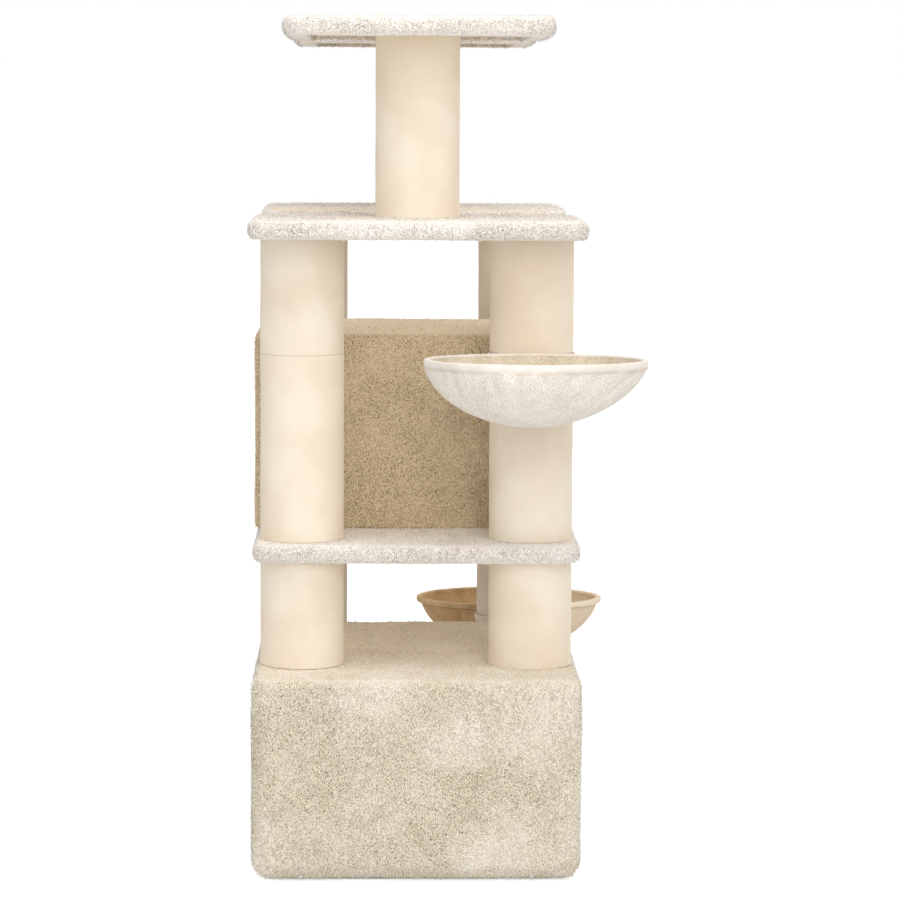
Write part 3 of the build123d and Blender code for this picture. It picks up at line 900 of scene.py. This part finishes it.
base_cover(cream, cream_strands, 5.0 * MM, house_end, 11)
house_cover(
    "lower_house_cover", beige, finishes["beige_strands"], 4.2 * MM,
    lower_door, LOWER_DOOR_RADIUS, 22 * MM, 27 * MM, 29 * MM, 21,
)
house_cover(
    "upper_house_cover", tan, finishes["tan_strands"], 4.0 * MM,
    upper_door, UPPER_DOOR_RADIUS, 15 * MM, 3 * MM, 6 * MM, 31, 0.03,
)
house_lining("lower_house", felt, lower_door, LOWER_DOOR_RADIUS, 24)
house_lining("upper_house", felt, upper_door, UPPER_DOOR_RADIUS, 34)
deck_cover("middle_cover", cream, cream_strands, 4.4 * MM, 41)
for number, side in enumerate(("left", "right")):
    upper_seed, perch_seed = 51 + 10 * number, 71 + 10 * number
    deck_cover(f"{side}_upper_cover", cream, cream_strands, 3.8 * MM, upper_seed)
    deck_cover(f"{side}_perch_cover", cream, cream_strands, 3.8 * MM, perch_seed, 28 * MM)

for number, part in enumerate(frame["record"]["subparts"]):
    if part["material_slot"] == "post_cloth":
        sleeve(part["node"], finishes["post_cloth"], 100 + 7 * number)

basket(
    "upper", finishes["white_basket_cloth"], finishes["basket_lining"], finishes["white_binding"],
    finishes["beige_thread"], 8 * MM, 11 * MM, 0.5 * MM, 4.5 * MM, 5 * MM, 401,
)
basket(
    "lower", finishes["tan_basket_cloth"], finishes["brown_lining"], finishes["tan_binding"],
    finishes["brown_thread"], 9 * MM, 9 * MM, 6 * MM, 6 * MM, -4 * MM, 433,
)


# ---------------------------------------------------------------- room, light and camera


def pale_floor(half, depth):
    """A wide floor that stays white to the eye and keeps the tree's soft shadow."""
    mesh = bpy.data.meshes.new("floor")
    corners = [(-half, -half, depth), (half, -half, depth), (half, half, depth), (-half, half, depth)]
    mesh.from_pydata(corners, [], [(0, 1, 2, 3)])
    floor = bpy.data.objects.new("floor", mesh)
    bpy.context.scene.collection.objects.link(floor)
    f = Finish("floor")
    f.shader.inputs["Base Color"].default_value = (0.8, 0.8, 0.8, 1)
    f.shader.inputs["Roughness"].default_value = 1.0
    f.shader.inputs["Specular IOR Level"].default_value = 0.0
    path = f.add("ShaderNodeLightPath")
    seen = f.maths("MAXIMUM", path.outputs["Is Camera Ray"], path.outputs["Is Glossy Ray"])
    glow = f.add("ShaderNodeEmission")
    f.link(f.maths("MULTIPLY", seen, 0.6), glow.inputs["Strength"])
    both = f.add("ShaderNodeAddShader")
    f.link(f.shader.outputs[0], both.inputs[0])
    f.link(glow.outputs[0], both.inputs[1])
    f.link(both.outputs[0], f.nodes["Material Output"].inputs["Surface"])
    mesh.materials.append(f.material)


def white_room(strength, colour):
    """An even sky that lights the tree and is white where it is seen."""
    world = bpy.data.worlds.new("room")
    bpy.context.scene.world = world
    world.use_nodes = True
    nodes, links = world.node_tree.nodes, world.node_tree.links
    light = nodes["Background"]
    light.inputs["Color"].default_value = (*colour, 1)
    light.inputs["Strength"].default_value = strength
    white = nodes.new("ShaderNodeBackground")
    white.inputs["Color"].default_value = (1, 1, 1, 1)
    path = nodes.new("ShaderNodeLightPath")
    seen = nodes.new("ShaderNodeMath")
    seen.operation = "MAXIMUM"
    links.new(path.outputs["Is Camera Ray"], seen.inputs[0])
    links.new(path.outputs["Is Glossy Ray"], seen.inputs[1])
    blend = nodes.new("ShaderNodeMixShader")
    links.new(seen.outputs[0], blend.inputs[0])
    links.new(light.outputs[0], blend.inputs[1])
    links.new(white.outputs[0], blend.inputs[2])
    links.new(blend.outputs[0], nodes["World Output"].inputs["Surface"])


def soft_lamp(name, place, target, size, power):
    """A large square lamp aimed at a point."""
    data = bpy.data.lights.new(name, "AREA")
    data.shape = "SQUARE"
    data.size = size
    data.energy = power
    lamp = bpy.data.objects.new(name, data)
    lamp.location = place
    aim = np.array(target) - np.array(place)
    flat = math.hypot(aim[0], aim[1])
    lamp.rotation_euler = (math.atan2(flat, -aim[2]), 0, math.atan2(aim[1], aim[0]) - math.pi / 2)
    bpy.context.scene.collection.objects.link(lamp)


def camera():
    """A long lens level with the upper decks, looking a little down the length of the tree."""
    data = bpy.data.cameras.new("camera")
    data.sensor_width = 36
    data.lens = 138
    data.clip_end = 100
    eye = bpy.data.objects.new("camera", data)
    eye.location = (-5.052, 0.055, 1.053)
    pitch, yaw, roll = math.radians(5.66), math.radians(1.218), math.radians(0.25)
    aimed = Euler((math.pi / 2 - pitch, 0, -math.pi / 2 - yaw)).to_matrix()
    eye.rotation_euler = (aimed @ Matrix.Rotation(roll, 3, "Z")).to_euler()
    bpy.context.scene.collection.objects.link(eye)
    bpy.context.scene.camera = eye


pale_floor(30, -0.5 * MM)
white_room(0.78, (1.0, 0.99, 0.985))
soft_lamp("front lamp", (-5.0, -0.7, 2.1), (0, 0, 0.6), 2.2, 74)
soft_lamp("top lamp", (-1.8, -0.3, 3.3), (0, 0, 0.5), 2.6, 40)
camera()

bpy.context.scene.view_settings.view_transform = "Standard"
